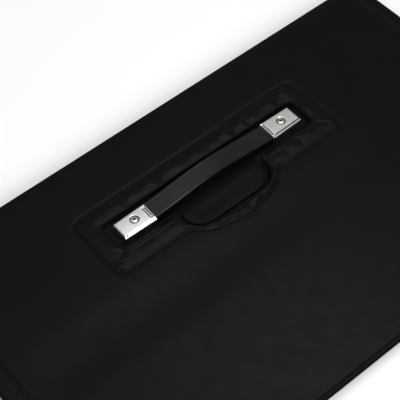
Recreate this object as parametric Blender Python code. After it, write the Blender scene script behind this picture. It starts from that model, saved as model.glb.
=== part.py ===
"""Folding solar panel with a leatherette cover and a recessed carrying handle, closed and lying flat.

Two soft-skinned halves fold like a book about a spine strip. Each half is a shallow leatherette shell
round a core board, a back sheet, two strings of solar cells and a clear front sheet. The upper half has
the handle in a recess of its outer face, and the lower half has the junction box in its own outer face.

Frame: origin at the bottom centre of the closed panel, X along the long edges, +Y towards the spine, Z up.
A depth in this file is measured inwards from the outer face of the half that holds the piece.
"""

from math import cos, pi, radians, sin

import bmesh
import bpy
from mathutils import Matrix, Vector

MM = 0.001

# Driving dimensions
LENGTH = 560 * MM
WIDTH = 340 * MM
HALF_THICKNESS = 8 * MM
HALF_GAP = 0.5 * MM
SKIN = 0.9 * MM
GAP = 0.3 * MM
CORNER_RADIUS = 6 * MM
EDGE_RADIUS = 2.5 * MM
ROUND_STEPS = 4

THICKNESS = 2 * HALF_THICKNESS + HALF_GAP
X_END = LENGTH / 2
Y_NEAR = -WIDTH / 2
Y_SPINE = WIDTH / 2

# Spine strip and its two creases
SPINE_CLEARANCE = 0.1 * MM
CREASE_Y = Y_SPINE - SKIN / 2
LOWER_CREASE_Z = SKIN / 2
UPPER_CREASE_Z = THICKNESS - SKIN / 2
HALF_END_Y = Y_SPINE - 2.4 * MM

# Depths of the layers of one half
CORE_TOP = SKIN + GAP
CORE_BOTTOM = 6.2 * MM
BACKSHEET_TOP = 6.45 * MM
BACKSHEET_BOTTOM = 6.8 * MM
CELL_TOP = 7.05 * MM
CELL_BOTTOM = 7.3 * MM
RIBBON_TOP = 7.15 * MM
RIBBON_BOTTOM = 7.4 * MM
FRONT_TOP = 7.65 * MM
BORDER_TOP = 7.4 * MM

# Border turned in over the cell face
SIDE_BORDER = 12 * MM
LONG_BORDER = 8 * MM
SPINE_BORDER = 4 * MM

# Cells: two rows of nine, each a third of a square cell
CELL_ROWS = 2
CELL_COLUMNS = 9
CELL_LENGTH = 156 * MM
CELL_WIDTH = 52 * MM
CELL_SPACING = 2.5 * MM
RIBBONS_PER_CELL = 5
RIBBON_WIDTH = 1.2 * MM
RIBBON_TAIL = 3 * MM
BUSBAR_WIDTH = 5 * MM

# Handle and the recess round it
HANDLE_Y = 73 * MM
SCREW_SPACING = 180 * MM
CAP_LENGTH = 37 * MM
CAP_WIDTH = 23.4 * MM
CAP_OUTER_X = 108 * MM
CAP_HEIGHT = 5 * MM
CAP_WALL = 1 * MM
STRAP_WIDTH = 20.6 * MM
STRAP_THICKNESS = 3.6 * MM
STRAP_END_X = 82 * MM
STRAP_ARCH_X = 80 * MM
STRAP_MIDDLE_Z = THICKNESS + 1.7 * MM
STRAP_RISE = 6 * MM
STRAP_CORE_WIDTH = 14 * MM
STRAP_CORE_THICKNESS = 0.8 * MM
STRAP_CORE_END_X = 98 * MM
STRAP_STATIONS = 21
OPENING = (-118 * MM, 115 * MM, 56 * MM, 89.5 * MM)
RELIEF = (-52 * MM, 47 * MM, 25 * MM)
RELIEF_RADIUS = 20 * MM
OPENING_CORNER = 2 * MM
OVERHANG = 1.5 * MM
TRAY_WALL = 0.8 * MM
RECESS_DEPTH = 5.4 * MM
PAD_AREA = (-132 * MM, 131.5 * MM, 40 * MM, 108.5 * MM)
PAD_RELIEF = (-60 * MM, 54 * MM, 14 * MM)
PAD_THICKNESS = 0.8 * MM
PAD_CORNER = 8 * MM
PAD_RELIEF_RADIUS = 24 * MM
PLINTH = (33 * MM, 19 * MM)
PLINTH_DEPTH = 2.6 * MM
ANCHOR_THICKNESS = 2 * MM
SCREW_RADIUS = 1.75 * MM
SCREW_HOLE_RADIUS = SCREW_RADIUS + GAP
DIMPLE_RADIUS = 4.75 * MM

# Closure magnets near the opening edge
MAGNET_X = 200 * MM
MAGNET_Y = Y_NEAR + 15 * MM
MAGNET_RADIUS = 6 * MM
MAGNET_THICKNESS = 2.8 * MM

# Junction box in the lower half
JUNCTION_CENTRE = (-180 * MM, 110 * MM)
JUNCTION_SIZE = (84 * MM, 34 * MM)
JUNCTION_TOP = 1.3 * MM
JUNCTION_BOTTOM = 6.1 * MM
JUNCTION_WALL = 1 * MM
LID_TOP = 0.25 * MM
LID_SCREW_X = 38 * MM
BOARD_SIZE = (66 * MM, 28 * MM)
DIODE_X = 16 * MM
LEAD_CHANNEL_WIDTH = 7 * MM
OUTLET_HOLE_RADIUS = 2 * MM

COLOURS = {
    "leatherette": ((0.012, 0.012, 0.012), 0.45, 0.0),
    "tray_liner": ((0.010, 0.010, 0.010), 0.55, 0.0),
    "core_board": ((0.42, 0.42, 0.40), 0.8, 0.0),
    "pad_foam": ((0.08, 0.08, 0.08), 0.95, 0.0),
    "backsheet": ((0.02, 0.02, 0.022), 0.5, 0.0),
    "solar_cell": ((0.012, 0.016, 0.035), 0.25, 0.1),
    "ribbon_metal": ((0.72, 0.72, 0.70), 0.35, 1.0),
    "front_film": ((0.55, 0.58, 0.62), 0.15, 0.0),
    "chrome": ((0.80, 0.79, 0.76), 0.18, 1.0),
    "strap_vinyl": ((0.03, 0.03, 0.032), 0.5, 0.0),
    "spring_steel": ((0.45, 0.46, 0.47), 0.4, 1.0),
    "magnet": ((0.60, 0.60, 0.60), 0.3, 1.0),
    "box_plastic": ((0.02, 0.02, 0.02), 0.55, 0.0),
    "circuit_board": ((0.02, 0.12, 0.05), 0.45, 0.0),
    "grommet_rubber": ((0.015, 0.015, 0.015), 0.8, 0.0),
}


def clear_scene():
    for thing in list(bpy.data.objects):
        bpy.data.objects.remove(thing, do_unlink=True)


def make_material(name):
    colour, roughness, metallic = COLOURS[name]
    material = bpy.data.materials.new(name)
    material.use_nodes = True
    shader = material.node_tree.nodes["Principled BSDF"]
    shader.inputs["Base Color"].default_value = (*colour, 1)
    shader.inputs["Roughness"].default_value = roughness
    shader.inputs["Metallic"].default_value = metallic
    material.diffuse_color = (*colour, 1)
    return material


class Body:
    """Pieces that move as one, under an empty on the axis of their joint."""

    def __init__(self, name, location, parent=None):
        self.place = Vector(location)
        self.empty = bpy.data.objects.new(name, None)
        bpy.context.collection.objects.link(self.empty)
        if parent:
            self.empty.parent = parent.empty
            self.empty.location = self.place - parent.place
        else:
            self.empty.location = self.place

    def add(self, piece):
        piece.parent = self.empty
        piece.matrix_parent_inverse = Matrix.Translation(-self.place)
        return piece


class Half:
    """One half of the panel. It turns a depth below the half's outer face into a height."""

    def __init__(self, name, body, outer_z, inwards):
        self.name = name
        self.body = body
        self.outer_z = outer_z
        self.inwards = inwards

    def z(self, depth):
        return self.outer_z + self.inwards * depth


# Outlines

def arc(centre, radius, start, end, steps=ROUND_STEPS):
    angles = [radians(start + (end - start) * i / steps) for i in range(steps + 1)]
    return [(centre[0] + radius * cos(a), centre[1] + radius * sin(a)) for a in angles]


def rectangle(x0, x1, y0, y1, near_radius=0.0, far_radius=None):
    """Corners rounded by near_radius at y0 and far_radius at y1, counter-clockwise."""
    far_radius = near_radius if far_radius is None else far_radius
    corners = (
        (x0, y0, 1, 1, near_radius, 180),
        (x1, y0, -1, 1, near_radius, 270),
        (x1, y1, -1, -1, far_radius, 0),
        (x0, y1, 1, -1, far_radius, 90),
    )
    points = []
    for x, y, to_x, to_y, radius, start in corners:
        if radius <= 0:
            points.append((x, y))
        else:
            centre = (x + to_x * radius, y + to_y * radius)
            points += arc(centre, radius, start, start + 90)
    return points


def centred_rectangle(centre, size, radius=0.0):
    x, y = centre
    length, width = size
    return rectangle(x - length / 2, x + length / 2, y - width / 2, y + width / 2, radius)


def relief_outline(area, relief, relief_radius, corner, grow=0.0):
    """A rectangle with a round-cornered finger relief added to its near side, grown outwards all round."""
    x0, x1, y0, y1 = area[0] - grow, area[1] + grow, area[2] - grow, area[3] + grow
    left, right, bottom = relief[0] - grow, relief[1] + grow, relief[2] - grow
    radius = relief_radius + grow
    points = arc((x0 + corner, y0 + corner), corner, 180, 270)
    points.append((left, y0))
    points += arc((left + radius, bottom + radius), radius, 180, 270, 2 * ROUND_STEPS)
    points += arc((right - radius, bottom + radius), radius, 270, 360, 2 * ROUND_STEPS)
    points.append((right, y0))
    points += arc((x1 - corner, y0 + corner), corner, 270, 360)
    points += arc((x1 - corner, y1 - corner), corner, 0, 90)
    points += arc((x0 + corner, y1 - corner), corner, 90, 180)
    return points


def opening_outline(grow=0.0):
    return relief_outline(OPENING, RELIEF, RELIEF_RADIUS, OPENING_CORNER, grow)


# Solids

def finish_mesh(name, mesh_data, material, body=None, helper=False):
    mesh = bpy.data.meshes.new(name)
    bmesh.ops.recalc_face_normals(mesh_data, faces=mesh_data.faces)
    mesh_data.to_mesh(mesh)
    mesh_data.free()
    mesh.shade_smooth()
    mesh.set_sharp_from_angle(angle=radians(30))
    piece = bpy.data.objects.new(name, mesh)
    bpy.context.collection.objects.link(piece)
    if helper:
        piece.hide_render = True
        piece.display_type = "WIRE"
    else:
        mesh.materials.append(MATERIALS[material])
        body.add(piece)
    return piece


def add_stack(mesh_data, layers):
    """A closed solid through outlines of equal length, each an (outline, z) pair, in order of z."""
    layers = sorted(layers, key=lambda layer: layer[1])
    rings = [[mesh_data.verts.new((x, y, z)) for x, y in outline] for outline, z in layers]
    count = len(rings[0])
    mesh_data.faces.new(rings[0][::-1])
    mesh_data.faces.new(rings[-1])
    for low, high in zip(rings, rings[1:]):
        for i in range(count):
            j = (i + 1) % count
            mesh_data.faces.new((low[i], low[j], high[j], high[i]))


def stack(name, layers, material=None, body=None):
    mesh_data = bmesh.new()
    add_stack(mesh_data, layers)
    return finish_mesh(name, mesh_data, material, body, helper=body is None)


def slab(name, outline, z0, z1, material=None, body=None):
    return stack(name, [(outline, z0), (outline, z1)], material, body)


def slabs(name, outlines, z0, z1):
    """Several equal-height solids in one helper mesh."""
    mesh_data = bmesh.new()
    for outline in outlines:
        add_stack(mesh_data, [(outline, z0), (outline, z1)])
    return finish_mesh(name, mesh_data, None, helper=True)


def turned(name, centre, profile, material=None, body=None, segments=20):
    """A closed solid turned about Z. The profile is (radius, z) from the axis at the bottom to the axis at the top."""
    mesh_data = bmesh.new()
    x, y = centre
    bottom = mesh_data.verts.new((x, y, profile[0][1]))
    top = mesh_data.verts.new((x, y, profile[-1][1]))
    rings = []
    for radius, z in profile[1:-1]:
        angles = [2 * pi * i / segments for i in range(segments)]
        rings.append([mesh_data.verts.new((x + radius * cos(a), y + radius * sin(a), z)) for a in angles])
    for i in range(segments):
        j = (i + 1) % segments
        mesh_data.faces.new((bottom, rings[0][j], rings[0][i]))
        mesh_data.faces.new((top, rings[-1][i], rings[-1][j]))
        for low, high in zip(rings, rings[1:]):
            mesh_data.faces.new((low[i], low[j], high[j], high[i]))
    return finish_mesh(name, mesh_data, material, body, helper=body is None)


def disc(name, centre, radius, z0, z1, material=None, body=None, segments=20):
    profile = [(0, z0), (radius, z0), (radius, z1), (0, z1)]
    return turned(name, centre, profile, material, body, segments)


def boolean(piece, other, operation="DIFFERENCE"):
    modifier = piece.modifiers.new(f"{operation.lower()} {other.name}", "BOOLEAN")
    modifier.operation = operation
    modifier.solver = "EXACT"
    modifier.object = other
    return piece


def half_layers(half, inset, top, bottom, edge_radius):
    """Layers of a block that fills a half from depth top to depth bottom, with a rounded outer edge.

    The block stops square at the spine. Its other three sides are inset from the outside of the half."""
    layers = []
    for i in range(ROUND_STEPS + 1):
        angle = radians(90 * i / ROUND_STEPS)
        pull = inset + edge_radius * (1 - sin(angle))
        layers.append((pull, top + edge_radius * (1 - cos(angle))))
    layers.append((inset, bottom))
    return [
        (
            rectangle(
                -X_END + pull,
                X_END - pull,
                Y_NEAR + pull,
                HALF_END_Y,
                near_radius=CORNER_RADIUS - pull,
                far_radius=0,
            ),
            half.z(depth),
        )
        for pull, depth in layers
    ]


# The layers of each half

def make_skin(half):
    """Leatherette shell: outer face, three turned-down sides and a border turned in over the cell face."""
    block = half_layers(half, 0, 0, HALF_THICKNESS, EDGE_RADIUS)
    skin = stack(f"skin_{half.name}", block, "leatherette", half.body)
    inner_x = X_END - SKIN
    pocket = rectangle(-inner_x, inner_x, Y_NEAR + SKIN, Y_SPINE, near_radius=CORNER_RADIUS - SKIN, far_radius=0)
    pocket_cut = slab(f"cut_pocket_{half.name}", pocket, half.z(SKIN), half.z(BORDER_TOP))
    window = slab(
        f"cut_window_{half.name}",
        rectangle(
            -X_END + SIDE_BORDER, X_END - SIDE_BORDER, Y_NEAR + LONG_BORDER, HALF_END_Y - SPINE_BORDER, 2 * MM
        ),
        half.z(BORDER_TOP - GAP),
        half.z(HALF_THICKNESS + GAP),
    )
    boolean(skin, pocket_cut)
    return boolean(skin, window)


def make_core(half):
    inset = SKIN + GAP
    layers = half_layers(half, inset, CORE_TOP, CORE_BOTTOM, EDGE_RADIUS - inset)
    return stack(f"core_board_{half.name}", layers, "core_board", half.body)


def make_sheets(half):
    edge = SKIN + 2 * GAP
    back = rectangle(-X_END + edge, X_END - edge, Y_NEAR + edge, HALF_END_Y - GAP, CORNER_RADIUS - edge, 0)
    slab(f"backsheet_{half.name}", back, half.z(BACKSHEET_TOP), half.z(BACKSHEET_BOTTOM), "backsheet", half.body)
    front = rectangle(
        -X_END + SIDE_BORDER + GAP,
        X_END - SIDE_BORDER - GAP,
        Y_NEAR + LONG_BORDER + GAP,
        HALF_END_Y - SPINE_BORDER - GAP,
        2 * MM,
    )
    slab(f"front_sheet_{half.name}", front, half.z(FRONT_TOP), half.z(HALF_THICKNESS), "front_film", half.body)


def cell_row_centres():
    middle = (Y_NEAR + LONG_BORDER + HALF_END_Y - SPINE_BORDER) / 2
    pitch = CELL_LENGTH + CELL_SPACING
    return [middle + (row - (CELL_ROWS - 1) / 2) * pitch for row in range(CELL_ROWS)]


def cell_run():
    """Half the length of a string of cells."""
    return (CELL_COLUMNS * CELL_WIDTH + (CELL_COLUMNS - 1) * CELL_SPACING) / 2


def make_cell_string(half, row_name, row_y):
    """Nine cells in series, joined into one string by the ribbons soldered along it."""
    run = cell_run()
    pitch = CELL_WIDTH + CELL_SPACING
    cells = []
    for column in range(CELL_COLUMNS):
        x = -run + CELL_WIDTH / 2 + column * pitch
        cells.append(centred_rectangle((x, row_y), (CELL_WIDTH, CELL_LENGTH)))
    ribbon_pitch = CELL_LENGTH / RIBBONS_PER_CELL
    mesh_data = bmesh.new()
    for i in range(RIBBONS_PER_CELL):
        y = row_y + (i - (RIBBONS_PER_CELL - 1) / 2) * ribbon_pitch
        ribbon = rectangle(-run - RIBBON_TAIL, run + RIBBON_TAIL, y - RIBBON_WIDTH / 2, y + RIBBON_WIDTH / 2)
        add_stack(mesh_data, [(ribbon, half.z(RIBBON_TOP)), (ribbon, half.z(RIBBON_BOTTOM))])
    name = f"cell_string_{half.name}_{row_name}"
    string = finish_mesh(name, mesh_data, "solar_cell", half.body)
    wafers = slabs(f"join_{name}", cells, half.z(CELL_TOP), half.z(CELL_BOTTOM))
    return boolean(string, wafers, "UNION")


def make_busbars(half, rows):
    """One bar links the two rows at the +X end, and a terminal bar ends each row at the other."""
    start = cell_run() + RIBBON_TAIL + GAP
    levels = half.z(RIBBON_TOP), half.z(RIBBON_BOTTOM)
    reach = CELL_LENGTH / 2 - RIBBON_WIDTH
    link = rectangle(start, start + BUSBAR_WIDTH, rows[0] - reach, rows[-1] + reach)
    slab(f"row_link_{half.name}", link, *levels, "ribbon_metal", half.body)
    for row_name, y in zip(("near", "far"), rows):
        bar = rectangle(-start - BUSBAR_WIDTH, -start, y - reach, y + reach)
        slab(f"terminal_bar_{half.name}_{row_name}", bar, *levels, "ribbon_metal", half.body)


def make_magnets(half, core):
    """Discs let into the core board near the opening edge, which hold the two halves shut."""
    bottom = CORE_BOTTOM - GAP
    top = bottom - MAGNET_THICKNESS
    for side, x in (("left", -MAGNET_X), ("right", MAGNET_X)):
        name = f"closure_magnet_{half.name}_{side}"
        disc(name, (x, MAGNET_Y), MAGNET_RADIUS, *sorted((half.z(top), half.z(bottom))), "magnet", half.body)
        levels = sorted((half.z(top - GAP), half.z(CORE_BOTTOM + GAP)))
        boolean(core, disc(f"cut_{name}", (x, MAGNET_Y), MAGNET_RADIUS + GAP, *levels))


def make_half(half):
    skin = make_skin(half)
    core = make_core(half)
    make_sheets(half)
    rows = cell_row_centres()
    for row_name, y in zip(("near", "far"), rows):
        make_cell_string(half, row_name, y)
    make_busbars(half, rows)
    make_magnets(half, core)
    return skin, core


# The spine

def make_spine(body):
    strip = rectangle(-X_END, X_END, Y_SPINE - SKIN, Y_SPINE)
    slab("spine_skin", strip, SPINE_CLEARANCE, THICKNESS - SPINE_CLEARANCE, "leatherette", body)
    ribbon_y = Y_SPINE - SKIN - GAP
    ribbon = rectangle(-120 * MM, -106 * MM, ribbon_y - 0.5 * MM, ribbon_y)
    slab("crossover_ribbon", ribbon, 1.6 * MM, THICKNESS - 1.6 * MM, "ribbon_metal", body)


# The handle and its recess

def make_tray(half):
    """Liner of the recess: walls, floor and a hollow plinth under each cap."""
    inner = opening_outline(OVERHANG)
    outer = opening_outline(OVERHANG + TRAY_WALL)
    floor_z = half.z(RECESS_DEPTH)
    under_z = half.z(RECESS_DEPTH + TRAY_WALL)
    rim_z = half.z(CORE_TOP)
    tray = slab("recess_tray", outer, under_z, rim_z, "tray_liner", half.body)
    boolean(tray, slab("cut_recess", inner, floor_z, rim_z + SKIN))
    for side, x in (("left", -SCREW_SPACING / 2), ("right", SCREW_SPACING / 2)):
        centre = (x, HANDLE_Y)
        hollow_size = [size - 2 * TRAY_WALL for size in PLINTH]
        top_z = half.z(PLINTH_DEPTH)
        plinth = slab(f"join_plinth_{side}", centred_rectangle(centre, PLINTH, 2 * MM), floor_z - GAP, top_z)
        hollow = centred_rectangle(centre, hollow_size, 1.2 * MM)
        boolean(tray, plinth, "UNION")
        boolean(tray, slab(f"cut_plinth_{side}", hollow, under_z - GAP, top_z - TRAY_WALL))
        boolean(tray, disc(f"cut_plinth_hole_{side}", centre, SCREW_HOLE_RADIUS, under_z, top_z + GAP))
        make_anchor(half, side, centre, hollow_size)
    return tray


def make_anchor(half, side, centre, hollow_size):
    """Steel plate in the plinth, which the screw of the cap threads into."""
    size = [length - 2 * GAP for length in hollow_size]
    top = half.z(PLINTH_DEPTH + TRAY_WALL + GAP)
    name = f"anchor_plate_{side}"
    plate = slab(name, centred_rectangle(centre, size, MM), top - ANCHOR_THICKNESS, top, "spring_steel", half.body)
    hole = disc(f"cut_{name}", centre, SCREW_HOLE_RADIUS, top - 2 * ANCHOR_THICKNESS, top + GAP)
    return boolean(plate, hole)


def make_recess_pad(half, core):
    """Foam ring under the skin round the recess, let into the core board."""
    outer = relief_outline(PAD_AREA, PAD_RELIEF, PAD_RELIEF_RADIUS, PAD_CORNER)
    pocket = relief_outline(PAD_AREA, PAD_RELIEF, PAD_RELIEF_RADIUS, PAD_CORNER, GAP)
    top = CORE_TOP
    pad = slab("recess_pad", outer, half.z(top + PAD_THICKNESS), half.z(top), "pad_foam", half.body)
    inside = opening_outline(OVERHANG + TRAY_WALL + GAP)
    boolean(pad, slab("cut_pad_middle", inside, half.z(top + 2 * PAD_THICKNESS), half.z(top - GAP)))
    boolean(core, slab("cut_pad_pocket", pocket, half.z(top + PAD_THICKNESS + GAP), half.z(top - GAP)))
    return boolean(core, slab("cut_core_recess", inside, half.z(HALF_THICKNESS), half.z(0)))


def cap_layers(side):
    """Outline of a cap, rounded more at its outer end, with a rounded upper edge."""
    z0 = THICKNESS - RECESS_DEPTH + GAP
    z1 = THICKNESS + CAP_HEIGHT
    edge = 1.2 * MM
    levels = [(0, z0), (0, z1 - edge), (0.3 * edge, z1 - 0.3 * edge), (edge, z1)]
    layers = []
    for pull, z in levels:
        outer_x = CAP_OUTER_X - pull
        inner_x = CAP_OUTER_X - CAP_LENGTH + pull
        half_width = CAP_WIDTH / 2 - pull
        ends = sorted((side * inner_x, side * outer_x))
        radius = 2.6 * MM - pull
        layers.append((rectangle(*ends, HANDLE_Y - half_width, HANDLE_Y + half_width, radius), z))
    return layers


def make_cap(half, side_name, side):
    """Stamped cap: a box open below and towards the strap, with a countersunk boss for its screw."""
    name = f"handle_cap_{side_name}"
    cap = stack(name, cap_layers(side), "chrome", half.body)
    ceiling = THICKNESS + CAP_HEIGHT - CAP_WALL
    inner_half = CAP_WIDTH / 2 - CAP_WALL
    ends = sorted((side * (CAP_OUTER_X - CAP_LENGTH - GAP), side * (CAP_OUTER_X - CAP_WALL)))
    hollow = rectangle(*ends, HANDLE_Y - inner_half, HANDLE_Y + inner_half)
    boolean(cap, slab(f"cut_{name}_hollow", hollow, THICKNESS - HALF_THICKNESS, ceiling))
    centre = (side * SCREW_SPACING / 2, HANDLE_Y)
    boss_z = THICKNESS + 2.4 * MM
    boolean(cap, disc(f"join_{name}_boss", centre, 5.5 * MM, boss_z, ceiling + GAP), "UNION")
    dimple = [
        (0, boss_z - GAP),
        (SCREW_HOLE_RADIUS, boss_z - GAP),
        (SCREW_HOLE_RADIUS, boss_z + 0.35 * MM),
        (4 * MM, boss_z + 1.9 * MM),
        (DIMPLE_RADIUS, THICKNESS + CAP_HEIGHT + 0.05 * MM),
        (0, THICKNESS + CAP_HEIGHT + 0.05 * MM),
    ]
    boolean(cap, turned(f"cut_{name}_dimple", centre, dimple))
    make_cap_screw(half, side_name, centre, boss_z)
    return cap


def make_cap_screw(half, side_name, centre, boss_z):
    head_radius = 3.55 * MM
    head_z = boss_z + 1.9 * MM
    tip_z = half.z(PLINTH_DEPTH + TRAY_WALL + ANCHOR_THICKNESS + 0.1 * MM)
    profile = [
        (0, tip_z),
        (SCREW_RADIUS - 0.4 * MM, tip_z),
        (SCREW_RADIUS, tip_z + 0.5 * MM),
        (SCREW_RADIUS, boss_z + 0.5 * MM),
        (head_radius, head_z),
        (head_radius, head_z + 0.15 * MM),
        (0.7 * head_radius, head_z + 0.6 * MM),
        (0, head_z + 0.85 * MM),
    ]
    turned(f"cap_screw_{side_name}", centre, profile, "chrome", half.body)


def strap_height(x):
    """Height of the middle of the strap, which arches up between the caps."""
    if abs(x) >= STRAP_ARCH_X:
        return STRAP_MIDDLE_Z
    return STRAP_MIDDLE_Z + STRAP_RISE * cos(pi * x / (2 * STRAP_ARCH_X)) ** 2


def strap_stations(end_x, count):
    return [-end_x + 2 * end_x * i / (count - 1) for i in range(count)]


def section(width, thickness, radius):
    """Cross-section of the strap, as (y, z) offsets."""
    return rectangle(-width / 2, width / 2, -thickness / 2, thickness / 2, radius)


def make_strap_cover(body):
    """Vinyl cover, a flat tube that the steel core passes through."""
    mesh_data = bmesh.new()
    loops = []
    outer = section(STRAP_WIDTH, STRAP_THICKNESS, 1.2 * MM)
    inner = section(STRAP_CORE_WIDTH + 2 * GAP, STRAP_CORE_THICKNESS + 2 * GAP, 0.3 * MM)
    for x in strap_stations(STRAP_END_X, STRAP_STATIONS):
        z = strap_height(x)
        loops.append([
            [mesh_data.verts.new((x, HANDLE_Y + dy, z + dz)) for dy, dz in loop] for loop in (outer, inner)
        ])
    count = len(outer)
    for i in range(count):
        j = (i + 1) % count
        for (outer_a, inner_a), (outer_b, inner_b) in zip(loops, loops[1:]):
            mesh_data.faces.new((outer_a[i], outer_b[i], outer_b[j], outer_a[j]))
            mesh_data.faces.new((inner_a[j], inner_b[j], inner_b[i], inner_a[i]))
        for outer_end, inner_end in (loops[0], loops[-1]):
            mesh_data.faces.new((outer_end[i], outer_end[j], inner_end[j], inner_end[i]))
    return finish_mesh("strap_cover", mesh_data, "strap_vinyl", body)


def make_strap_core(body):
    """Spring steel band, with a slot at each end that slides on the screw of the cap."""
    mesh_data = bmesh.new()
    loops = []
    for x in strap_stations(STRAP_CORE_END_X, STRAP_STATIONS + 4):
        z = strap_height(x)
        band = section(STRAP_CORE_WIDTH, STRAP_CORE_THICKNESS, 0)
        loops.append([mesh_data.verts.new((x, HANDLE_Y + dy, z + dz)) for dy, dz in band])
    count = len(loops[0])
    for a, b in zip(loops, loops[1:]):
        for i in range(count):
            j = (i + 1) % count
            mesh_data.faces.new((a[i], b[i], b[j], a[j]))
    mesh_data.faces.new(loops[0])
    mesh_data.faces.new(loops[-1][::-1])
    core = finish_mesh("strap_core", mesh_data, "spring_steel", body)
    slot_half = 6 * MM
    slot_width = 2 * SCREW_HOLE_RADIUS + GAP
    for side in (-1, 1):
        middle = (side * SCREW_SPACING / 2, HANDLE_Y)
        outline = centred_rectangle(middle, (2 * slot_half, slot_width), slot_width / 2.01)
        name = f"cut_strap_slot_{'left' if side < 0 else 'right'}"
        boolean(core, slab(name, outline, STRAP_MIDDLE_Z - 2 * MM, STRAP_MIDDLE_Z + 2 * MM))
    return core


def make_handle(upper, skin, core, strap_body):
    boolean(skin, slab("cut_skin_opening", opening_outline(), upper.z(CORE_TOP), upper.z(-SKIN)))
    make_recess_pad(upper, core)
    make_tray(upper)
    for side_name, side in (("left", -1), ("right", 1)):
        make_cap(upper, side_name, side)
    make_strap_cover(strap_body)
    make_strap_core(strap_body)


# The junction box and the outlet of the lead

def make_junction_box(lower, skin, core):
    centre, size = JUNCTION_CENTRE, JUNCTION_SIZE
    outline = centred_rectangle(centre, size, 3 * MM)
    clear = centred_rectangle(centre, [length + 2 * GAP for length in size], 3 * MM + GAP)
    z = lower.z
    boolean(skin, slab("cut_skin_lid", clear, z(-SKIN), z(CORE_TOP)))
    boolean(core, slab("cut_core_junction", clear, z(0), z(HALF_THICKNESS)))
    box = slab("junction_box", outline, z(JUNCTION_TOP), z(JUNCTION_BOTTOM), "box_plastic", lower.body)
    inside = centred_rectangle(centre, [length - 2 * JUNCTION_WALL for length in size], 2 * MM)
    boolean(box, slab("cut_junction_inside", inside, z(0), z(JUNCTION_BOTTOM - JUNCTION_WALL)))
    post_radius = 2.4 * MM
    lid = slab("junction_lid", outline, z(LID_TOP), z(JUNCTION_TOP - GAP), "box_plastic", lower.body)
    for side_name, side in (("left", -1), ("right", 1)):
        post = (centre[0] + side * LID_SCREW_X, centre[1])
        hole = disc(f"cut_lid_screw_{side_name}", post, 1.3 * MM, z(-GAP), z(4.6 * MM), segments=12)
        post_levels = z(JUNCTION_TOP), z(JUNCTION_BOTTOM - GAP)
        boolean(box, disc(f"join_post_{side_name}", post, post_radius, *post_levels), "UNION")
        boolean(box, hole)
        boolean(lid, hole)
        screw = [
            (0, z(LID_TOP)),
            (MM, z(LID_TOP)),
            (MM, z(4 * MM)),
            (0, z(4 * MM)),
        ]
        turned(f"lid_screw_{side_name}", post, screw, "spring_steel", lower.body, segments=12)
    board_levels = z(4 * MM), z(4.8 * MM)
    board = centred_rectangle(centre, BOARD_SIZE)
    slab("diode_board", board, *board_levels, "circuit_board", lower.body)
    for number, side in ((1, -1), (2, 1)):
        place = (centre[0] + side * DIODE_X, centre[1])
        body = centred_rectangle(place, (9 * MM, 7 * MM), 0.6 * MM)
        slab(f"bypass_diode_{number}", body, z(1.9 * MM), z(4 * MM - GAP), "box_plastic", lower.body)
    make_lead_outlet(lower, skin, core, box)


def make_lead_outlet(lower, skin, core, box):
    """Rubber grommet in the side of the lower half, and the channel from the junction box to it."""
    y = JUNCTION_CENTRE[1]
    z0, z1 = lower.z(2 * MM), lower.z(CORE_BOTTOM)
    middle_z = (z0 + z1) / 2
    box_end = JUNCTION_CENTRE[0] - JUNCTION_SIZE[0] / 2
    half_width = LEAD_CHANNEL_WIDTH / 2
    grommet_inner_x = -X_END + 6 * MM
    channel = rectangle(-X_END, box_end + JUNCTION_WALL, y - half_width, y + half_width)
    boolean(core, slab("cut_lead_channel", channel, z0 - GAP, lower.z(HALF_THICKNESS)))
    mouth = rectangle(-X_END - MM, grommet_inner_x, y - half_width, y + half_width)
    boolean(skin, slab("cut_skin_outlet", mouth, z0 - GAP, z1 + GAP))
    grommet_half = half_width - GAP
    body = rectangle(-X_END + 0.2 * MM, grommet_inner_x, y - grommet_half, y + grommet_half)
    grommet = slab("lead_outlet", body, z0, z1 - GAP, "grommet_rubber", lower.body)
    bore = disc("cut_lead_bore", (0, 0), OUTLET_HOLE_RADIUS, -12 * MM, 12 * MM, segments=16)
    bore.matrix_world = Matrix.Translation((-X_END, y, middle_z)) @ Matrix.Rotation(pi / 2, 4, "Y")
    boolean(grommet, bore)
    box_bore = disc("cut_box_bore", (0, 0), OUTLET_HOLE_RADIUS - GAP, -4 * MM, 4 * MM, segments=16)
    box_bore.matrix_world = Matrix.Translation((box_end, y, middle_z)) @ Matrix.Rotation(pi / 2, 4, "Y")
    boolean(box, box_bore)


def make_panel():
    lower_body = Body("lower_half_base", (0, 0, 0))
    spine_body = Body("lower_crease_axis", (0, CREASE_Y, LOWER_CREASE_Z), lower_body)
    upper_body = Body("upper_crease_axis", (0, CREASE_Y, UPPER_CREASE_Z), spine_body)
    strap_body = Body("strap_lift_axis", (0, HANDLE_Y, STRAP_MIDDLE_Z), upper_body)
    lower = Half("lower", lower_body, 0, 1)
    upper = Half("upper", upper_body, THICKNESS, -1)
    lower_skin, lower_core = make_half(lower)
    upper_skin, upper_core = make_half(upper)
    make_spine(spine_body)
    make_handle(upper, upper_skin, upper_core, strap_body)
    make_junction_box(lower, lower_skin, lower_core)


clear_scene()
MATERIALS = {name: make_material(name) for name in COLOURS}
make_panel()
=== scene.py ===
"""Looks of the folding solar panel: leatherette covers, recessed carrying handle, cells and junction box.

Every size is in metres, in the frame of the CAD model: X along the long edges, +Y towards the spine, Z up.
Places come from the boxes of the CAD nodes; the sizes named below repeat those of the part's source.
"""

from math import cos, pi, radians, sin

import bmesh
import bpy
import numpy as np
from mathutils import Matrix, Vector
from mathutils.geometry import delaunay_2d_cdt
from mathutils.kdtree import KDTree


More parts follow.
